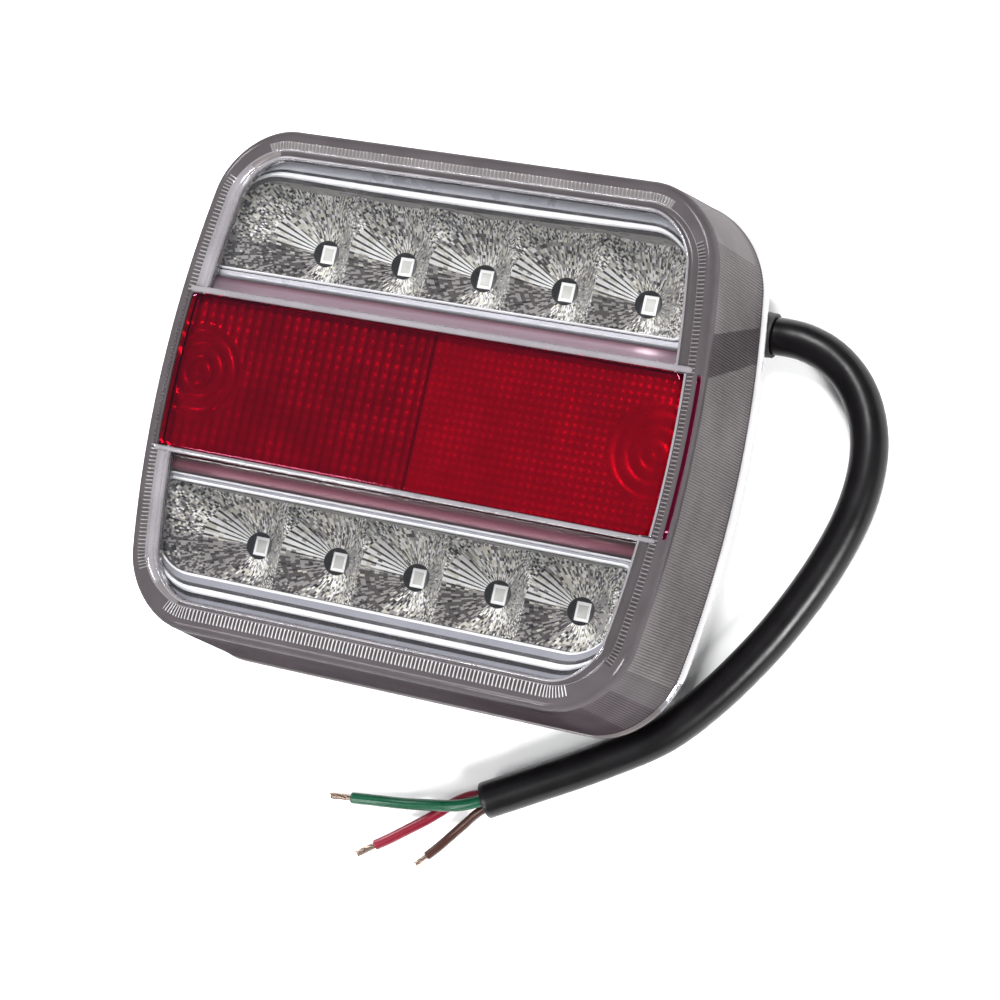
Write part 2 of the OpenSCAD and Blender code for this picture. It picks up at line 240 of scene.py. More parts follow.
MATERIALS = {
    "cable": solid("black_pvc", (0.0025, 0.002, 0.0025), 0.32, level=0.2, grain=500, depth=3e-5),
    "green": solid("green_pvc", (0.001, 0.043, 0.019), 0.3, level=0.25, grain=700),
    "red_wire": solid("red_pvc", (0.11, 0.0035, 0.012), 0.32, level=0.25, grain=700),
    "brown": solid("brown_pvc", (0.028, 0.008, 0.005), 0.34, level=0.25, grain=700),
    "strand": solid("bare_copper", (0.2, 0.145, 0.12), 0.3, metallic=1, grain=2500),
    **{
        key: metallised(key, colour, rough, metallic, 0.1, grain=1500, depth=6e-6)
        for key, (colour, rough, metallic) in FACETS.items()
    },
    "frame": metallised(
        "metallised_frame", (0.43, 0.43, 0.47), 0.2, 0.5, 0.04, depth=8e-6, rough_span=0.04
    ),
    "frame_pale": metallised(
        "ledge_painted_sheen", (0.58, 0.58, 0.62), 0.3, 0.3, 0.04, depth=8e-6, rough_span=0.04
    ),
    "frame_dark": metallised("metallised_shade", (0.13, 0.12, 0.125), 0.25, 0.8, 0.2),
    "gleam": metallised("painted_highlight_bead", (0.84, 0.84, 0.85), 0.2, 0.1, 0.1, grain=500),
    "hole": solid("hole_painted_shade", (0.006, 0.006, 0.006), 0.6),
    "housing": solid("black_abs", (0.012, 0.012, 0.013), 0.5, grain=2200, depth=4e-5),
    "rubber": solid("rubber", (0.01, 0.01, 0.01), 0.6, grain=1200),
    "board": solid("solder_mask", (0.008, 0.008, 0.008), 0.5, grain=800),
    "led": solid("led_package", (0.95, 0.95, 0.93), 0.4, spread=0.03, grain=900),
    "silicone": solid("led_silicone", (0.62, 0.62, 0.58), 0.2, spread=0.15, grain=1200),
    "brass": solid("brass", (0.62, 0.43, 0.17), 0.3, metallic=1),
    "steel": solid("zinc_steel", (0.6, 0.61, 0.63), 0.35, metallic=1),
    "solder": solid("solder", (0.65, 0.66, 0.68), 0.25, metallic=1),
    "chip": solid("chip_black", (0.02, 0.02, 0.02), 0.5),
    "white": solid("white_abs", (0.7, 0.7, 0.68), 0.4, spread=0.05),
    "reflex": metallised("reflex_red", (0.27, 0.09, 0.145), 0.22, 0.5, 0.15, grain=600),
    "diffuser": metallised("diffuser_red", (0.38, 0.07, 0.165), 0.24, 0.5, 0.08, grain=600),
    "magenta_up": magenta("painted_red_reflection_upper", 15.8, STRIP_UP),
    "magenta_down": magenta("painted_red_reflection_lower", -18.4, STRIP_DOWN),
    "window": clear("clear_acrylic", (0.98, 0.98, 0.985), 0.03, waves=4e-5),
    "red": clear("red_acrylic", (0.86, 0.11, 0.35), 0.05, shine=(0.9, 0.25, 0.45)),
    **{key: clear(*finish) for key, finish in CAP.items()},
}

# ------------------------------------------------------------- mesh makers


def linked(name, data):
    made = bpy.data.objects.new(name, data)
    bpy.context.scene.collection.objects.link(made)
    return made


def mesh_object(name, points, faces, materials, indices=None):
    """A smooth mesh with those finishes, and each face's own where indices are given."""
    mesh = bpy.data.meshes.new(name)
    mesh.from_pydata([tuple(map(float, p)) for p in points], [], [tuple(map(int, f)) for f in faces])
    made = linked(name, mesh)
    for key in materials:
        mesh.materials.append(MATERIALS[key])
    if indices is not None:
        mesh.polygons.foreach_set("material_index", np.asarray(indices, np.int32))
    mesh.polygons.foreach_set("use_smooth", np.full(len(mesh.polygons), True))
    clean = bmesh.new()
    clean.from_mesh(mesh)
    bmesh.ops.recalc_face_normals(clean, faces=clean.faces)
    clean.to_mesh(mesh)
    clean.free()
    mesh.update()
    return made


def catmull(points, steps):
    """A smooth line through the points, with steps pieces between each pair."""
    p = np.asarray(points, float)
    p = np.vstack([2 * p[0] - p[1], p, 2 * p[-1] - p[-2]])
    out = []
    for i in range(1, len(p) - 2):
        a, b, c, d = p[i - 1 : i + 3]
        for t in np.arange(steps) / steps:
            square, cube = 2 * a - 5 * b + 4 * c - d, 3 * b - a - 3 * c + d
            out.append(0.5 * (2 * b + (c - a) * t + square * t**2 + cube * t**3))
    out.append(p[-2])
    return np.array(out)


def frames(path):
    """Unit vectors ahead, sideways and up along a path, carried along without twist."""
    tangents = np.gradient(path, axis=0)
    tangents /= np.linalg.norm(tangents, axis=1)[:, None]
    side = np.cross(tangents[0], (0, 0, 1.0))
    sides = []
    for t in tangents:
        side = side - t * (side @ t)
        side /= np.linalg.norm(side)
        sides.append(side)
    sides = np.array(sides)
    return tangents, sides, np.cross(tangents, sides)


def rings_along(path, radii, sides):
    _, side, up = frames(path)
    turn = np.arange(sides) * 2 * math.pi / sides
    radii = np.broadcast_to(np.asarray(radii, float), (len(path),))
    around = side[:, None] * np.cos(turn)[None, :, None] + up[:, None] * np.sin(turn)[None, :, None]
    return path[:, None] + around * radii[:, None, None]


def stitched(rings, closed=False):
    """Faces between stacked rings of equal length, with flat caps unless the stack closes on itself."""
    rows, n = rings.shape[:2]
    faces = []
    for r in range(rows if closed else rows - 1):
        a, b = r * n, (r + 1) % rows * n
        faces += [(a + k, a + (k + 1) % n, b + (k + 1) % n, b + k) for k in range(n)]
    if not closed:
        faces += [tuple(range(n - 1, -1, -1)), tuple((rows - 1) * n + k for k in range(n))]
    return faces


def add_piece(piece, node):
    """Put a visible piece on the lamp in place of its plain node."""
    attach(piece, BODY)
    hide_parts(node)


def with_ends(path, radius, sides, chamfer):
    """Rings of a solid tube with small rounded ends."""
    rings = rings_along(path, radius, sides)
    tangents = frames(path)[0]
    first, last = [], []
    for turn in (0.3, 0.65, 1.0):
        inset = chamfer * (1 - math.cos(turn * math.pi / 2))
        move = chamfer * math.sin(turn * math.pi / 2)
        scale = 1 - inset / radius
        first.append((rings[0] - path[0]) * scale + path[0] - tangents[0] * move)
        last.append((rings[-1] - path[-1]) * scale + path[-1] + tangents[-1] * move)
    return np.concatenate([np.array(first[::-1]), rings, np.array(last)])


# ------------------------------------------------------------------- cords

# centrelines of the cable and its cores
CABLE_ROUTE = [
    (52, 29.2, 5.8), (54.9, 29.2, 5.8), (58, 28.9, 5.5), (61.9, 27.7, 4.8), (65.5, 25.5, 4.1),
    (68.6, 22.4, 3.7), (71, 18.6, 3.5), (72.7, 14.2, 3.5), (73.5, 9.4, 3.5), (73.5, 4.4, 3.5),
    (72.8, -0.7, 3.5), (71.5, -5.7, 3.5), (69.8, -10.6, 3.5), (67.8, -15.4, 3.5), (65.5, -20.2, 3.5),
    (63, -24.9, 3.5), (60.2, -29.5, 3.5), (57.2, -34, 3.5), (54, -38.3, 3.5), (50.6, -42.4, 3.5),
    (46.9, -46.2, 3.5), (42.7, -49.4, 3.5), (38.2, -52.3, 3.5), (33.7, -55.1, 3.5), (29.1, -57.8, 3.5),
    (24.5, -60.4, 3.5), (19.9, -63, 3.5), (15.3, -65.6, 3.5),
]
GREEN_ROUTE = [
    (28.4, -58.2, 4.6), (24, -60.7, 4.6), (19.7, -63.2, 4.6), (15.3, -65.6, 4.6), (12.6, -66.9, 4.5),
    (9.6, -67.9, 4.2), (6, -68.6, 3.5), (2.2, -69.2, 2.6), (-1.6, -69.8, 1.8), (-5.2, -70.2, 1.3),
    (-8.8, -70.6, 1.1), (-12.4, -71, 1.1),
]
RED_ROUTE = [
    (27.8, -57.1, 2.9), (23.4, -59.6, 2.9), (19.1, -62, 2.9), (14.7, -64.5, 2.9), (11.6, -65.6, 2.5),
    (8.8, -67.2, 1.8), (6.2, -69.4, 1.2), (3.3, -71.9, 1), (0.2, -74.3, 1), (-2.9, -76.7, 1),
    (-5.6, -78.6, 1),
]
BROWN_ROUTE = [
    (29, -59.3, 2.9), (24.6, -61.8, 2.9), (20.3, -64.2, 2.9), (15.9, -66.7, 2.9), (13.6, -68.5, 2.5),
    (11.5, -70.8, 1.6), (9.3, -73.3, 1), (7.2, -75.9, 0.85), (5.1, -78.3, 0.85),
]
CABLE_D = 7.0
BORE_DEPTH = 15.3
BORE_R = 2.7
PIECES = 5  # of a curve between two points of a route
CORE_CHAMFER = 0.12
STRAND_COUNT, STRAND_TURN, STRAND_FLARE = 7, 2.6, 0.15


def make_jacket():
    """The cable's sheath, open at its cut end as far as the cores are loose in it."""
    path = catmull(CABLE_ROUTE, PIECES)
    radius = CABLE_D / 2
    outer = rings_along(path, radius, 32)
    way = path[-1] - path[-2]
    way /= np.linalg.norm(way)
    end = outer[-1] - path[-1]
    bore = BORE_R / radius
    mouth = ((0.985, 0.06), (0.95, 0.1), (bore + 0.03, 0.1), (bore, 0.0))
    rows = [path[-1] + end * share + way * ahead for share, ahead in mouth]
    rows += [path[-1] + end * bore - way * BORE_DEPTH * f for f in (0.3, 0.65, 1.0)]
    rings = np.concatenate([outer, np.array(rows)]) * MM
    made = mesh_object("cable_sheath", rings.reshape(-1, 3), stitched(rings), ["cable"])
    return made, path


def make_core(name, key, route, diameter):
    path = catmull(route, PIECES)
    rings = with_ends(path, diameter / 2, 20, CORE_CHAMFER) * MM
    return mesh_object(name, rings.reshape(-1, 3), stitched(rings), [key]), path


def make_strands(name, start, tip, diameter):
    """Seven twisted bare strands, which open a little towards their tip."""
    start, tip = np.array(start, float), np.array(tip, float)
    way = (tip - start) / np.linalg.norm(tip - start)
    side = np.cross(way, (0, 0, 1.0))
    side /= np.linalg.norm(side)
    up = np.cross(way, side)
    thin = diameter / 6
    points, faces = [], []
    for strand in range(STRAND_COUNT):
        reach = np.linalg.norm(tip - start) * (1 - 0.05 * (strand % 3))
        t = np.linspace(0, 1, 14)
        orbit = 0 if strand == 0 else diameter / 3 * (1 + STRAND_FLARE * t**2)
        angle = strand * math.pi / 3 + t * STRAND_TURN
        path = start + way * (t * reach)[:, None]
        path = path + side * (orbit * np.cos(angle))[:, None] + up * (orbit * np.sin(angle))[:, None]
        rings = with_ends(path, thin, 8, thin * 0.6) * MM
        base = sum(len(p) for p in points)
        points.append(rings.reshape(-1, 3))
        faces += [tuple(base + k for k in f) for f in stitched(rings)]
    return mesh_object(name, np.concatenate(points), faces, ["strand"])


def add_cords():
    jacket, path = make_jacket()
    add_piece(jacket, "cable_jacket")
    for colour, key, slot, route, diameter, tip, bare in (
        ("green", "green", "green_pvc", GREEN_ROUTE, 2.2, (-17, -71.5, 1.1), 1.2),
        ("red", "red_wire", "red_pvc", RED_ROUTE, 2.0, (-9, -81.1, 1.0), 1.2),
        ("brown", "brown", "brown_pvc", BROWN_ROUTE, 1.7, (3.2, -80.4, 0.85), 1.0),
    ):
        core, line = make_core(colour + "_core", key, route, diameter)
        strands = make_strands(colour + "_bare_end", line[-1], tip, bare)
        add_piece(core, colour + "_wire")
        add_piece(strands, colour + "_strands")


add_cords()

# -------------------------------------------------------------- lens cover

TOP = 41.0
LIP_W, LIP_H, LIP_CORNER, LIP_BOW = 104.8, 94.6, 13.0, 220.0
LIP_R = 1.7
WALL_Z = 13.4
LIP_Z = TOP - LIP_R
RIB_PITCH = 0.75
PER_RIB, PER_FLUTE = 6, 4  # points of the outline to a rib and to a flute
RIB_RISE, FLUTE_RISE = 0.16, 0.09
RED_W, RED_H = 97.8, 29.0
# how far the flange and the wall's foot stand out beyond the lip, in x and y
FLANGE_OUT, WALL_OUT = (1.4, 2.7), (1.0, 2.3)
# rows of the flange and of the groove above it, the groove in painted shade: region, height, inset
FLANGE_ROWS = (
    ("rim", 11.0, 0.1), ("rim", 11.15, 0.0), ("rim", 12.2, 0.0), ("rim", 12.4, 0.15),
    ("groove", 12.4, 0.95), ("groove", 13.35, 0.95),
)
WALL_ROWS = 26
LINE_INSET = 4.95  # of the bright line, a painted highlight, inside the ribs
# painted shade: a dark slanting band on the side walls, where shadow inside shows through: middle at the
# lip, slant, half width and its taper
SHADE_Y, SHADE_SLANT, SHADE_HALF, SHADE_TAPER = 18, 7.3, 3.9, 0.6


def outline(width, height, corner, bow, arc_steps=24):
    """Rounded rectangle with bowed left and right edges, anticlockwise."""
    a, b = width / 2 - corner, height / 2 - corner
    points = []
    for cx, cy, start in ((a, b, 0), (-a, b, 90), (-a, -b, 180), (a, -b, 270)):
        for i in range(arc_steps + 1):
            angle = math.radians(start + 90 * i / arc_steps)
            points.append((cx + corner * math.cos(angle), cy + corner * math.sin(angle)))
        if start in (90, 270):
            count = int(b)
            way = -1 if cx < 0 else 1
            points += [(way * width / 2, way * (2 * b * i / count - b)) for i in range(1, count)]
    points = np.array(points)
    points[:, 0] *= 1 - points[:, 1] ** 2 / bow / width
    return points


def even(points, count):
    """The closed line through the points in count equal pieces, its outward normals and its length."""
    loop = np.vstack([points, points[:1]])
    keep = np.append(True, np.linalg.norm(np.diff(loop, axis=0), axis=1) > 1e-6)
    loop = loop[keep]
    run = np.concatenate([[0], np.cumsum(np.linalg.norm(np.diff(loop, axis=0), axis=1))])
    at = np.arange(count) * run[-1] / count
    line = np.stack([np.interp(at, run, loop[:, k]) for k in (0, 1)], 1)
    ahead = np.roll(line, -3, 0) - np.roll(line, 3, 0)
    ahead /= np.linalg.norm(ahead, axis=1)[:, None]
    return line, np.stack([ahead[:, 1], -ahead[:, 0]], 1), run[-1]


def smoothstep(x, low, high):
    t = np.clip((x - low) / (high - low), 0, 1)
    return t * t * (3 - 2 * t)


def make_lens():
    """The clear cap: flange, fluted wall, smooth lip, band of ribs, and the step down to the windows,
    with highlight and shade painted by region.
    """
    shape = outline(LIP_W, LIP_H, LIP_CORNER, LIP_BOW)
    ribs = 2 * round(even(shape, 1000)[2] / RIB_PITCH / 2)
    line, normal, _ = even(shape, ribs * PER_RIB)
    count = len(line)
    turn = np.arange(count) * 2 * math.pi / PER_RIB
    wave = np.cos(turn)
    gap = np.cos(turn + math.pi / PER_RIB) < 0.2
    flute_turn = np.arange(count) * 2 * math.pi / PER_FLUTE
    flute = np.cos(flute_turn)
    flute_gap = np.cos(flute_turn + math.pi / PER_FLUTE) < 0
    # ribs run along the straight sides and die out in the corners
    bend = np.maximum(np.abs(normal[:, 0]), np.abs(normal[:, 1]))
    straight = smoothstep(bend, 0.86, 0.97)
    beside_red = np.abs(line[:, 1]) < RED_H / 2 + 0.2
    left_red, right_red = beside_red & (normal[:, 0] < -0.5), beside_red & (normal[:, 0] > 0.5)
    # the band is narrow beside the red lens, wider along the top and widest along the bottom
    up, down = np.maximum(normal[:, 1], 0) ** 2, np.maximum(-normal[:, 1], 0) ** 2
    band_start = np.select([left_red, right_red], [1.8, 1.9], 1.75 + 0.5 * up + 0.45 * down)
    band_end = np.select([left_red, right_red], [2.2, 3.0], 3.1 + 0.6 * up + 1.2 * down)
    line_start = np.select([left_red, right_red], [2.3, 3.15], LINE_INSET)
    rows, kinds = [], []

    def row(kind, z, inset, grow=(0, 0), rib=0.0, lift=0.0):
        out = normal * (rib * flute * straight - inset)[:, None] + normal * np.array(grow)
        rows.append(np.column_stack([line + out, z + lift * wave * straight]))
        kinds.append(kind)

    def wall_out(share):
        return (WALL_OUT[0] * share, WALL_OUT[1] * share)

    for kind, z, inset in FLANGE_ROWS:
        row(kind, z, inset, FLANGE_OUT)
    row("wall", WALL_Z, 0.15, WALL_OUT)
    for step in range(WALL_ROWS):
        f = step / (WALL_ROWS - 1)
        z = WALL_Z + 0.3 + (LIP_Z - WALL_Z - 0.3) * f
        foot = 1 - (z - WALL_Z) / (LIP_Z - WALL_Z)
        flutes = FLUTE_RISE * smoothstep(1 - f, 0.04, 0.3)
        row("wall" if f < 0.93 else "lip", z, 0, wall_out(foot), rib=flutes)
    for angle in range(15, 91, 15):
        a = math.radians(angle)
        row("lip", LIP_Z + LIP_R * math.sin(a), LIP_R * (1 - math.cos(a)))
    for f in (0, 0.06, 0.2, 0.4, 0.6, 0.8, 0.94, 1):
        inset = band_start + (band_end - band_start) * f
        rise = RIB_RISE * math.sin(math.pi * f) ** 0.5
        row("ribs" if f < 1 else "edge", TOP - 0.04 - 0.2 * f, inset, lift=rise)
    row("gap", TOP - 0.55, band_end + 0.15)
    row("gap", TOP - 0.5, line_start - 0.12)
    for more, drop in ((0.0, 0.15), (0.2, 0.0), (0.4, 0.1), (0.5, 0.35)):
        row("edge", TOP - 0.1 - drop, line_start + more)
    row("edge", 40.2, line_start + 0.55)
    row("edge", 38.6, line_start + 0.55)
    row("inside", 38.4, band_end - 0.5)
    row("inside", 37.6, 3.0)
    row("inside", 36.6, 2.5)
    row("inside", 30.0, 2.1, wall_out(0.33))
    row("inside", WALL_Z, 2.1, WALL_OUT)
    row("inside", 11.0, 2.5, FLANGE_OUT)
    rings = np.array(rows)
    keys = list(CAP)
    at_top, at_bottom, at_right = normal[:, 1] > 0.5, normal[:, 1] < -0.5, normal[:, 0] > 0.5
    indices = []
    for r, kind in enumerate(kinds):
        base = {"ribs": "rib_light", "inside": "wall"}.get(kind, kind)
        row_keys = np.full(count, keys.index(base))

        def finish(where, key):
            row_keys[where] = keys.index(key)

        # painted highlight on the rib crests and painted shade in their gaps; the gaps lighter along the
        # top, the crests lighter along the bottom, and both darker on the right
        if kind == "ribs":
            finish(gap, "rib_dark")
            finish(gap & at_top, "wall")
            finish(~gap & at_bottom, "rib_low")
            finish(~gap & at_right, "wall")
            finish(gap & at_right, "shade_gap")
            finish(straight < 0.2, "lip")
        if kind == "wall":
            # painted shade in the flutes' gaps
            finish(flute_gap & (straight > 0.3), "groove")
            # painted shade: a dark slanting band on the side walls, and a dark line at the wall's foot
            depth = (LIP_Z - rings[r, :, 2]) / (LIP_Z - WALL_Z)
            off = np.abs(line[:, 1] - SHADE_Y - SHADE_SLANT * depth)
            shade_band = (off < SHADE_HALF - SHADE_TAPER * depth) & (np.abs(normal[:, 0]) > 0.8)
            finish(shade_band | (depth > 0.98) | (flute_gap & (depth > 0.9)), "shade")
            finish(shade_band & flute_gap, "shade_gap")
            # painted shade: the wall darkens round the lower corners, the flutes' gaps first
            for steepness, key in ((-0.25, "groove"), (-0.5, "shade"), (-0.74, "under")):
                finish(normal[:, 1] < steepness + np.where(flute_gap, 0.12, -0.12), key)
        if kind == "rim":
            # painted shade: the rim darkens along the lower side
            finish(normal[:, 1] < -0.3, "edge")
            finish(normal[:, 1] < -0.6, "wall")
        if kind in ("ribs", "gap", "edge"):
            finish(left_red, "lip")
        if kind == "gap":
            # the sunk edge is painted shade, painted lighter along the left side
            finish((normal[:, 0] < -0.3) & ~left_red, "wall")
            finish((normal[:, 0] < -0.75) & ~left_red, "edge")
        indices.append(row_keys)
    rings = rings * MM
    faces = stitched(rings, closed=True)
    return mesh_object("clear_cap", rings.reshape(-1, 3), faces, keys, np.concatenate(indices))


def slab(name, polygon, low, high, key, bevel=0.15):
    """A flat plate of that outline, with its edges rounded."""
    shape = bmesh.new()
    face = shape.faces.new([shape.verts.new((x * MM, y * MM, low * MM)) for x, y in polygon])
    raised = bmesh.ops.extrude_face_region(shape, geom=[face])
    moved = [g for g in raised["geom"] if isinstance(g, bmesh.types.BMVert)]
    bmesh.ops.translate(shape, verts=moved, vec=(0, 0, (high - low) * MM))
    bmesh.ops.recalc_face_normals(shape, faces=shape.faces)
    sharp = [e for e in shape.edges if len(e.link_faces) == 2 and e.calc_face_angle() > 0.6]
    bmesh.ops.bevel(shape, geom=sharp, offset=bevel * MM, segments=3, profile=0.5, affect="EDGES")
    mesh = bpy.data.meshes.new(name)
    shape.to_mesh(mesh)
    shape.free()
    mesh.materials.append(MATERIALS[key])
    return linked(name, mesh)


def clipped(points, low, high):
    """The part of a polygon between two heights in y."""
    for level, keep in ((low, 1), (high, -1)):
        out = []
        for p, q in zip(points, np.roll(points, -1, 0)):
            inside, following = (p[1] - level) * keep >= 0, (q[1] - level) * keep >= 0
            if inside:
                out.append(tuple(p))
            if inside != following:
                t = (level - p[1]) / (q[1] - p[1])
                out.append(tuple(p + t * (q - p)))
        points = np.array(out)
    return points


BAR_END = 15.8
BAR_Z, WINDOW_Z, RED_Z = (39.2, 41.0), (38.8, 40.2), (38.7, 40.9)  # undersides and faces


def make_windows():
    """The clear faces over the two rows of bowls, with the bars beside the red lens."""
    inner = outline(LIP_W - 11.0, LIP_H - 11.0, 8.0, LIP_BOW)
    made = []
    for sign, word in ((1, "upper"), (-1, "lower")):
        low, high = sorted((sign * BAR_END, sign * 60))
        made.append(slab(word + "_window", clipped(inner, low, high), *WINDOW_Z, "window"))
        low, high = sorted((sign * (RED_H / 2 + 0.1), sign * BAR_END if sign > 0 else 0.3 - BAR_END))
        bar = clipped(outline(LIP_W - 4.2, LIP_H, LIP_CORNER, LIP_BOW), low, high)
        # the bars beside the red lens wear the painted highlight finish
        made.append(slab(word + "_bar", bar, *BAR_Z, "edge", 0.4))
    return made


def add_lens():
    for piece in (make_lens(), *make_windows()):
        add_piece(piece, "lens_cover")


add_lens()

# ---------------------------------------------------------------- red band

RING_X, RING_Y, RING_R, RING_STEP = 45.5, 0.3, 9.0, 2.5
STRIPE_STEP, DOT_STEP = 1.95, 1.5


def make_relief(name, key, left, right, height):
    """A plate with a relief on its face; height(x, y) gives the rise over its upper plane."""
    step, low, high, half = 0.32, 36.4, 37.9, RED_H / 2 - 0.1
    xs = np.linspace(left, right, int((right - left) / step) + 1)
    ys = np.linspace(-half, half, int(2 * half / step) + 1)
    grid_x, grid_y = np.meshgrid(xs, ys)
    top = high + height(grid_x, grid_y)
    m, n = top.shape
    flat = grid_x.ravel(), grid_y.ravel()
    points = np.concatenate(
        [np.column_stack([*flat, z.ravel()]) for z in (top, np.full_like(top, low))]
    )
    at = np.arange(m * n).reshape(m, n)
    faces = [
        (at[i, j], at[i, j + 1], at[i + 1, j + 1], at[i + 1, j])
        for i in range(m - 1) for j in range(n - 1)
    ]
    edge = [*at[0], *at[1:, -1], *at[-1, -2::-1], *at[-2:0:-1, 0]]
    faces += [(p, q, q + m * n, p + m * n) for p, q in zip(edge, edge[1:] + edge[:1])]
    faces.append(tuple(p + m * n for p in edge))
    return mesh_object(name, points * MM, faces, [key])


def ring_relief(x, y, side):
    """Turned grooves round a centre near one end, and how far they reach."""
    r = np.hypot(x - side * RING_X, y - RING_Y)
    inside = 1 - smoothstep(r, RING_R - 0.4, RING_R + 0.4)
    groove = (0.32 if side < 0 else 0.2) * np.abs(np.sin(math.pi * r / RING_STEP)) ** 0.7
    return groove, inside


def reflex_height(x, y):
    groove, inside = ring_relief(x, y, -1)
    across, along = (np.abs(np.sin(math.pi * v / STRIPE_STEP)) for v in (x, y))
    stripes = 0.3 * across + 0.05 * along
    return stripes * (1 - inside) + groove * inside


def diffuser_height(x, y):
    groove, inside = ring_relief(x, y, 1)
    dots = 0.14 * np.abs(np.sin(math.pi * x / DOT_STEP) * np.sin(math.pi * y / DOT_STEP))
    return dots * (1 - inside) + groove * inside


def make_red_edge():
    """The skirt of the red lens, which shows in the lip at its right end."""
    turn = np.radians(np.linspace(42, 68, 6))
    outer, inner = LIP_R + 0.06, LIP_R - 0.25
    section = [(LIP_R - outer * math.cos(a), LIP_Z + outer * math.sin(a)) for a in turn]
    section += [(LIP_R - inner * math.cos(a), LIP_Z + inner * math.sin(a)) for a in turn[::-1]]
    rings = []
    for y in np.linspace(-RED_H / 2, RED_H / 2, 15):
        edge = LIP_W / 2 * (1 - y * y / LIP_BOW / LIP_W)
        rings.append([(edge - inset, y, z) for inset, z in section])
    rings = np.array(rings) * MM
    return mesh_object("red_edge", rings.reshape(-1, 3), stitched(rings), ["red"])


def add_red():
    panel = outline(RED_W, RED_H, 1.4, LIP_BOW, arc_steps=6) + (-0.5, 0)
    face = slab("red_face", panel, *RED_Z, "red", 0.3)
    for piece in (face, make_red_edge()):
        add_piece(piece, "red_lens")
    prisms = make_relief("reflex_prisms", "reflex", -50.0, -0.15, reflex_height)
    add_piece(prisms, "reflex_plate")
    plate = make_relief("diffuser_face", "diffuser", 0.15, 50.0, diffuser_height)
    add_piece(plate, "tail_diffuser")


add_red()

# -------------------------------------------------------------- reflectors

PITCH, ROW_Y, HOLE_R = 16.4, 28.4, 2.6
BOWL_Z, BOWL_X, BOWL_Y, CELL = 22.3, 8.3, 13.7, 8.2
WIN_LEFT, WIN_RIGHT = -47.9, 45.5
WIN_FLOOR, WALL_TOP = {1: (20.7, 38.4), -1: (20.1, 36.6)}, 36.3

# zones of facets round an LED: outer radius, facets a turn, rings, then the rise of a facet along
# and across, and the scatter of its corners
ZONES = ((CELL, 40, 10, 0.012, 0.04, 0.012), (18.2, 120, 27, 0.02, 0.03, 0.02))
AROUND = 240
BOWL_NUMBER, HOLE_Z = 5, 20.4
# the finish of a facet by how bright its painted reflection is, from 0 to 1
PAINTED_TONES = ("facet_black", "facet_dark", "facet_grey", "facet_pale", "facet_white")
STEPS = (0.14, 0.34, 0.6, 0.82)


def near_angle(angle, middle, half, soft):
    """One inside a fan of directions round a middle, fading to nought past its half width."""
    away = np.abs((angle - middle + 180) % 360 - 180)
    return 1 - smoothstep(away, half, half + soft)


def painted_reflection_tones(r, angle, sign):
    """How bright the painted reflection of each cell of one row at this radius is, from 0 to 1; angles
    are in degrees.
    """
    turned = angle if sign > 0 else angle + 180
    part = turned % 9 / 9
    ray = (part > 0.2) & (part < 0.84)
    wide = 2 if r < CELL else 1
    noise = np.repeat(RNG.normal(0, 1, len(angle) // wide), wide)
    # painted reflections: a fan of glint rays to the left of the LED, shade below left of it, a calmer
    # patch to its right and a glow below it
    fan = near_angle(turned, 162 if sign > 0 else 158, 13 if sign > 0 else 17, 12) * (r < CELL)
    shade = near_angle(turned, 212, 22, 14)
    calm = near_angle(turned, 5, 35, 20) * (r < 7)
    glow = near_angle(turned, 292, 14, 14) * (r < 6)
    value = 0.485 + 0.06 * near_angle(turned, 90, 40, 30) - 0.2 * shade - 0.04 * calm + 0.22 * glow
    value = value + noise * (0.29 - 0.17 * np.maximum(shade, calm))
    value = value + 0.05 * np.where(ray, 1, -1) * shade
    rays = np.where(ray, 0.97, 0.08) + noise * (0.05 if r < 5.6 else 0.2)
    return value * (1 - fan) + rays * fan


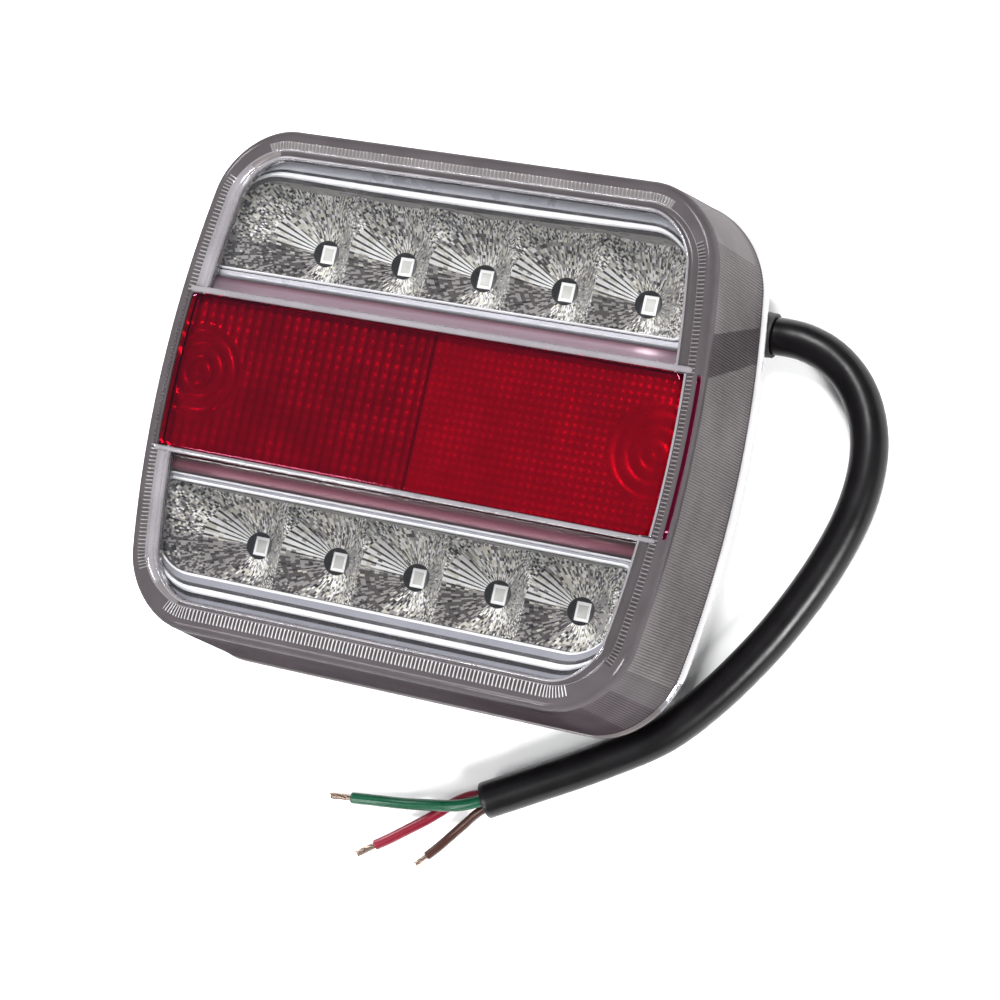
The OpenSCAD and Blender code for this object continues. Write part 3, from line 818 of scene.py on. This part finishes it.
def make_bowl(centre, left, right, low, high, sign):
    """One bowl of pillow-shaped facets, cut to its cell."""
    shape = bmesh.new()
    angle = np.arange(AROUND) * 2 * math.pi / AROUND
    curve = np.cos(angle) ** 2 / BOWL_X + np.sin(angle) ** 2 / BOWL_Y
    begin, rows = HOLE_R, []
    for reach, number, rings, along, across, scatter in ZONES:
        step = AROUND // number
        j, t = np.arange(AROUND) // step, np.arange(AROUND) % step / step
        far = RNG.normal(0, scatter, number)
        for k in range(rings):
            near, far = far, RNG.normal(0, scatter, number)
            for v in (0, 0.5, 1) if k == rings - 1 and reach > CELL else (0, 0.5):
                r = begin + (reach - begin) * (k + v) / rings
                mean = BOWL_Z + curve * min(r, CELL) ** 2 + 0.75 * max(r - CELL, 0)
                pillow = along * (1 - (2 * v - 1) ** 2) + across * (1 - (2 * t - 1) ** 2)
                rough = [c[j] * (1 - t) + np.roll(c, -1)[j] * t for c in (near, far)]
                z = mean + pillow + rough[0] * (1 - v) + rough[1] * v
                rows.append((r, np.minimum(z, WALL_TOP - 0.3), step, v))
        begin = reach
    grid = []
    for r, z, _, _ in rows:
        flat = zip(centre + r * np.cos(angle), ROW_Y + r * np.sin(angle), z)
        grid.append([shape.verts.new(p) for p in flat])
    for k in range(len(rows) - 1):
        if rows[k][3] == 0:
            # each facet's finish follows its painted reflection tone
            tones = np.digitize(painted_reflection_tones(rows[k][0], np.degrees(angle), sign), STEPS)
        for j in range(AROUND):
            m = (j + 1) % AROUND
            face = shape.faces.new((grid[k][j], grid[k][m], grid[k + 1][m], grid[k + 1][j]))
            face.smooth = True
            face.material_index = int(tones[j])
            face.edges[3].smooth = j % rows[k][2] != 0
            face.edges[0].smooth = rows[k][3] != 0
    for point, way in (
        ((right, 0, 0), (1, 0, 0)), ((left, 0, 0), (-1, 0, 0)),
        ((0, high, 0), (0, 1, 0)), ((0, low, 0), (0, -1, 0)),
    ):
        everything = shape.verts[:] + shape.edges[:] + shape.faces[:]
        bmesh.ops.bisect_plane(
            shape, geom=everything, dist=1e-6, plane_co=point, plane_no=way, clear_outer=True
        )
    return shape


def skirt(shape, edges, height, index):
    """Walls from some border edges to one height, or down by a little when the height is None."""
    made = bmesh.ops.extrude_edge_only(shape, edges=edges)
    for v in (g for g in made["geom"] if isinstance(g, bmesh.types.BMVert)):
        v.co.z = v.co.z - 0.35 if height is None else height
    for f in (g for g in made["geom"] if isinstance(g, bmesh.types.BMFace)):
        f.material_index = index


def make_reflector(name, sign):
    """One row of bowls, each with its walls and the wall of its LED's hole."""
    shape = bmesh.new()
    low, high = WIN_FLOOR[sign]
    first, last = sorted((WIN_LEFT * sign, WIN_RIGHT * sign))
    for i in range(BOWL_NUMBER):
        centre = (i - BOWL_NUMBER // 2) * PITCH
        left = first if i == 0 else centre - PITCH / 2
        right = last if i == BOWL_NUMBER - 1 else centre + PITCH / 2
        bowl = make_bowl(centre, left, right, low, high, sign)
        border = [e for e in bowl.edges if e.is_boundary]
        hole, joint, wall = [], [], []
        for e in border:
            mid = (e.verts[0].co + e.verts[1].co) / 2
            reach = (mid.xy - Vector((centre, ROW_Y))).length
            flat = min(abs(mid.y - low), abs(mid.y - high), abs(mid.x - first), abs(mid.x - last)) < 1e-3
            (hole if reach < HOLE_R + 0.2 else wall if flat else joint).append(e)
        # painted shade: the joints between bowls dark and the walls of the LEDs' holes black; the walls
        # along the window take the grey tone
        skirt(bowl, joint, None, PAINTED_TONES.index("facet_dark"))
        skirt(bowl, wall, WALL_TOP, PAINTED_TONES.index("facet_grey"))
        skirt(bowl, hole, HOLE_Z, len(PAINTED_TONES))
        part = bpy.data.meshes.new("part")
        bowl.to_mesh(part)
        bowl.free()
        shape.from_mesh(part)
        bpy.data.meshes.remove(part)
    for v in shape.verts:
        v.co = Vector((v.co.x * sign, v.co.y * sign, v.co.z)) * MM
    bmesh.ops.recalc_face_normals(shape, faces=shape.faces)
    mesh = bpy.data.meshes.new(name)
    shape.to_mesh(mesh)
    shape.free()
    for key in (*PAINTED_TONES, "hole"):
        mesh.materials.append(MATERIALS[key])
    return linked(name, mesh)


def frame_line(low, high, left, right, inner_r, outer_r, sag, steps=10, run=30):
    """Rounded oblong round one row, with smaller corners on its red side; the same count for any size."""
    points = []
    corners = (
        (right, high, outer_r, 0), (left, high, outer_r, 90),
        (left, low, inner_r, 180), (right, low, inner_r, 270),
    )
    arcs = []
    for cx, cy, r, start in corners:
        mx, my = cx - math.copysign(r, cx), cy - r if cy == high else cy + r
        turn = [math.radians(start + 90 * i / steps) for i in range(steps + 1)]
        arcs.append([(mx + r * math.cos(a), my + r * math.sin(a)) for a in turn])
    for arc, following in zip(arcs, arcs[1:] + arcs[:1]):
        points += arc
        begin, end = np.array(arc[-1]), np.array(following[0])
        points += [tuple(begin + (end - begin) * i / run) for i in range(1, run)]
    points = np.array(points)
    points[:, 1] -= sag * np.clip(1 - (points[:, 0] / 36) ** 2, 0, 1) * (points[:, 1] > (low + high) / 2)
    points[:, 0] *= 1 - (points[:, 1] ** 2 - low**2) / LIP_BOW / LIP_W
    return points


FRAME_FOOT = 35.9
# cross-section of the frame round a row: far side, red side, left, right, height, finish, sag
# the gleam rows are painted highlight lines, the frame_dark rows painted shade lines, and frame_pale a
# lighter copy with painted sheen on the upper ledge
FRAMES = {
    1: (
        (38.3, 20.9, 47.9, 45.5, 36.4, "frame_dark", 0.45),
        (38.75, 20.75, 48.0, 45.6, 36.9, "frame_dark", 0.45),
        (38.9, 20.72, 48.05, 45.7, 37.3, "gleam", 0.45),
        (39.15, 20.65, 48.15, 45.85, 37.65, "gleam", 0.45),
        (39.45, 20.5, 48.25, 46.0, 37.75, "gleam", 0.4),
        (39.75, 20.35, 48.35, 46.15, 37.65, "gleam", 0.3),
        (39.9, 20.25, 48.4, 46.25, 37.35, "frame_dark", 0.2),
        (40.45, 20.05, 48.5, 46.5, 37.2, "frame_pale", 0.1),
        (40.7, 19.9, 48.6, 46.7, 37.3, "frame_pale", 0.1),
        (41.2, 19.75, 48.75, 47.0, 37.4, "frame_pale", 0),
        (41.7, 19.6, 48.9, 47.3, 37.42, "frame_pale", 0),
        (42.4, 19.35, 49.1, 47.6, 37.38, "frame_pale", 0),
        (43.1, 19.1, 49.4, 48.0, 37.2, "frame_pale", 0),
        (43.8, 18.7, 49.8, 48.5, 36.9, "frame_dark", 0),
    ),
    -1: (
        (36.35, 20.25, 47.9, 45.5, 36.2, "frame_dark", 0),
        (36.5, 20.1, 48.0, 45.6, 36.95, "gleam", 0),
        (36.7, 19.9, 48.1, 45.8, 37.25, "gleam", 0),
        (37.0, 19.6, 48.2, 46.0, 37.3, "frame", 0),
        (37.3, 19.4, 48.25, 46.1, 37.25, "frame", 0),
        (38.2, 19.2, 48.4, 46.5, 37.3, "frame_dark", 0),
        (38.85, 19.1, 48.5, 46.8, 37.25, "gleam", 0),
        (39.05, 19.0, 48.55, 46.9, 37.55, "gleam", 0),
        (39.35, 18.9, 48.6, 47.0, 37.75, "gleam", 0),
        (39.75, 18.75, 48.7, 47.1, 37.7, "gleam", 0),
        (40.0, 18.6, 48.8, 47.2, 37.4, "frame_dark", 0),
        (40.8, 18.45, 49.0, 47.6, 37.1, "frame", 0),
        (41.3, 18.35, 49.2, 47.9, 37.15, "frame", 0),
        (43.2, 18.25, 49.8, 48.5, 37.0, "frame_dark", 0),
    ),
}


def make_frame(name, sign):
    """The smooth metallised beads round one row of bowls, with painted highlight and shade lines."""
    keys = ["frame", "frame_dark", "gleam", "frame_pale"]
    rings, indices, lines = [], [], []
    for k, (far, near, left, right, z, key, sag) in enumerate(FRAMES[sign]):
        t = k / (len(FRAMES[sign]) - 1)
        line = frame_line(near, far, -left, right, 2.0 + t, 7.0 + 3.5 * t, sag)
        if sign < 0:
            line = line[::-1] * (1, -1)
        lines.append(line)
        rings.append(np.column_stack([line, np.full(len(line), z)]))
        indices.append(np.full(len(line), keys.index(key)))
    for line in (lines[-1], lines[0]):
        rings.append(np.column_stack([line, np.full(len(line), FRAME_FOOT)]))
        indices.append(np.full(len(line), keys.index("frame_dark")))
    rings = np.array(rings) * MM
    faces = stitched(rings, closed=True)
    return mesh_object(name, rings.reshape(-1, 3), faces, keys, np.concatenate(indices))


def make_strip(name, sign):
    """The strip between a bead and the red lens, coloured as if it mirrored the red."""
    half, low, high, under, top, crown = 48.6, BAR_END - 0.6, 18.5, 37.0, 38.2, 0.35
    profile = [(low, under), (high, under)]
    for t in np.linspace(0, 1, 9):
        profile.append((high - (high - low) * t, top + crown * math.sin(math.pi * t)))
    rings = np.array([[(x, y * sign, z) for y, z in profile] for x in np.linspace(-half, half, 9)]) * MM
    key = "magenta_up" if sign > 0 else "magenta_down"
    return mesh_object(name, rings.reshape(-1, 3), stitched(rings), [key])


def add_reflectors():
    for word, sign in (("upper", 1), ("lower", -1)):
        for make, part in ((make_reflector, "bowls"), (make_frame, "frame"), (make_strip, "strip")):
            piece = make(f"{word}_{part}", sign)
            add_piece(piece, word + "_reflector")


add_reflectors()

# ------------------------------------------------------- the other CAD nodes

FINISHES = {
    "rear_housing": "housing", "mounting_inserts": "brass", "lens_seal": "rubber",
    "center_reflector": "white", "led_board": "board", "upper_leds": "led", "lower_leds": "led",
    "tail_leds": "led", "led_windows": "silicone", "resistors": "chip", "diodes": "chip",
    "solder_joints": "solder", "board_screws": "steel", "cable_grommet": "rubber",
    "cable_inner_end": "cable", "cable_clamp": "chip", "clamp_screw": "steel",
    "green_lead": "green", "red_lead": "red_wire", "brown_lead": "brown",
}
for node, key in FINISHES.items():
    for place in nodes[node].material_slots:
        place.material = MATERIALS[key]

# ---------------------------------------------------------- floor and light


def add_floor():
    n = Nodes("pale_floor")
    shader = n.node("BsdfPrincipled", Roughness=0.9)
    stops = [(NOISE_LOW, (0.9, 0.9, 0.9)), (NOISE_HIGH, (0.92, 0.92, 0.92))]
    n.link(n.ramp(n.noise(3, 2), stops), shader.inputs["Base Color"])
    material = n.finish(shader.outputs[0])
    mesh = bpy.data.meshes.new("floor")
    half = 3.0
    corners = [(-half, -half, 0), (half, -half, 0), (half, half, 0), (-half, half, 0)]
    mesh.from_pydata(corners, [], [(0, 1, 2, 3)])
    mesh.materials.append(material)
    linked("floor", mesh)


def add_light(name, place, aim, size, power):
    data = bpy.data.lights.new(name, "AREA")
    data.shape = "RECTANGLE"
    data.size, data.size_y = size
    data.energy = power
    made = linked(name, data)
    way = Vector(aim) - Vector(place)
    turn = way.to_track_quat("-Z", "Y").to_matrix().to_4x4()
    made.matrix_world = Matrix.Translation(Vector(place)) @ turn


# direction, cosine where the patch begins and is full, and its colour
PATCHES = (
    ((-0.7, 0.5, 0.5), 0.75, 0.95, (0.2, 0.21, 0.23)),
    ((-0.38, 0.08, 0.92), 0.85, 0.97, (0.13, 0.14, 0.165)),
    ((-0.38, -0.86, 0.33), 0.8, 0.97, (0.4, 0.4, 0.37)),
    ((-0.9, -0.1, 0.35), 0.8, 0.95, (0.4, 0.4, 0.37)),
    ((0.95, 0.08, 0.28), 0.9, 0.98, (0.3, 0.3, 0.28)),
)


def add_world():
    """Soft room light: dim towards the horizon, brighter overhead, with a few broad pale patches."""
    world = bpy.data.worlds.new("studio")
    world.use_nodes = True
    tree = world.node_tree

    def node(kind, operation=None):
        made = tree.nodes.new("ShaderNode" + kind)
        if operation:
            made.operation = operation
        return made

    place = node("TexCoord").outputs["Generated"]
    split = node("SeparateXYZ")
    tree.links.new(place, split.inputs[0])
    ramp = node("ValToRGB")
    elements = ramp.color_ramp.elements
    elements[0].color = (0.05, 0.05, 0.05, 1)
    elements[1].color = (0.34, 0.35, 0.36, 1)
    tree.links.new(split.outputs["Z"], ramp.inputs[0])
    total = ramp.outputs[0]
    for way, start, full, colour in PATCHES:
        dot = node("VectorMath", "DOT_PRODUCT")
        tree.links.new(place, dot.inputs[0])
        dot.inputs[1].default_value = Vector(way).normalized()
        fade = node("MapRange")
        fade.inputs["From Min"].default_value = start
        fade.inputs["From Max"].default_value = full
        tree.links.new(dot.outputs["Value"], fade.inputs["Value"])
        scaled = node("VectorMath", "SCALE")
        scaled.inputs[0].default_value = colour
        tree.links.new(fade.outputs["Result"], scaled.inputs["Scale"])
        added = node("VectorMath", "ADD")
        tree.links.new(total, added.inputs[0])
        tree.links.new(scaled.outputs[0], added.inputs[1])
        total = added.outputs[0]
    tree.links.new(total, tree.nodes["Background"].inputs["Color"])
    tree.nodes["Background"].inputs["Strength"].default_value = 1.0
    bpy.context.scene.world = world


LIT_POINT = (0, 0, 0.02)
# name, direction from the lamp, distance, size and power
LIGHTS = (
    ("bead", (-0.38, -0.54, 0.75), 1.3, (0.5, 0.35), 11),
    ("key", (0.7, -0.4, 0.55), 1.3, (0.3, 0.4), 26),
    ("glint", (-0.3, -0.85, 0.45), 1.3, (0.15, 0.15), 5),
    ("far", (-0.75, 0.4, 0.5), 1.3, (0.25, 0.3), 14),
    ("top", (0.1, 0.5, 1.0), 1.5, (0.5, 0.4), 27),
)


def add_lights():
    for name, way, distance, size, power in LIGHTS:
        add_light(name, Vector(way).normalized() * distance, LIT_POINT, size, power)


add_floor()
add_world()
add_lights()
bpy.context.scene.view_settings.view_transform = "Standard"
